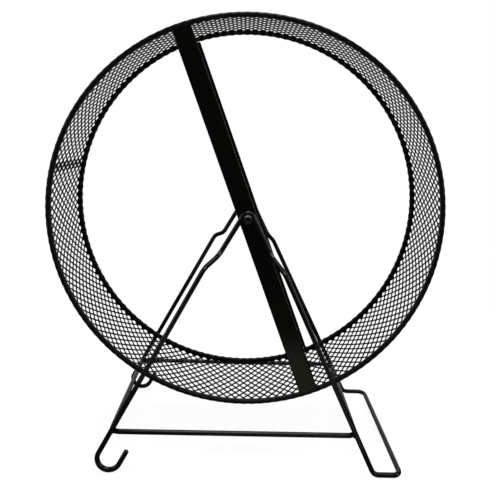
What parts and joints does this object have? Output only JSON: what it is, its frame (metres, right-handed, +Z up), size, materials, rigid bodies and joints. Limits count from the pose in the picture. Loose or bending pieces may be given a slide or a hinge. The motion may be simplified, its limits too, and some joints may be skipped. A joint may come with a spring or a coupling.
{
  "type": "rodent exercise wheel",
  "caption": "Running wheel of black wire mesh between two hemmed rims, with a flat crossbar in each mouth, turning on a bent-wire stand with hooked feet.",
  "frame": {"origin": "on the floor, below the middle of the axle", "axes": "+X across the wheel towards the rail side of the stand, +Y along the axle away from the viewer, +Z up"},
  "size_m": [0.29, 0.1244, 0.33],
  "materials": {
    "mesh_coating": "satin black coating over expanded steel mesh",
    "rim_steel": "drawn wire, hidden inside the hem",
    "crossbar_paint": "satin black coating over folded sheet steel",
    "bush_plastic": "black moulded bearing plastic",
    "stand_coating": "satin black coating over steel wire",
    "rivet_coating": "black coating, worn thin on the rim of the hole",
    "washer_coating": "satin black coating over steel"
  },
  "bodies": {
    "stand": {"front_leg_wire": "stand_coating", "rear_leg_wire": "stand_coating", "floor_rail": "stand_coating", "brace_loop": "stand_coating", "front_axle_rivet": "rivet_coating", "rear_axle_rivet": "rivet_coating", "front_spacer_washer": "washer_coating", "rear_spacer_washer": "washer_coating"},
    "wheel": {"mesh_band": "mesh_coating", "front_hem": "mesh_coating", "rear_hem": "mesh_coating", "front_rim_wire": "rim_steel", "rear_rim_wire": "rim_steel", "front_crossbar": "crossbar_paint", "rear_crossbar": "crossbar_paint", "front_bearing_bush": "bush_plastic", "rear_bearing_bush": "bush_plastic"}
  },
  "joints": [
    {"name": "wheel_spin", "type": "hinge", "parent": "stand", "child": "wheel", "pos_m": [0, 0, 0.185], "axis": [0, 1, 0], "continuous": true}
  ]
}
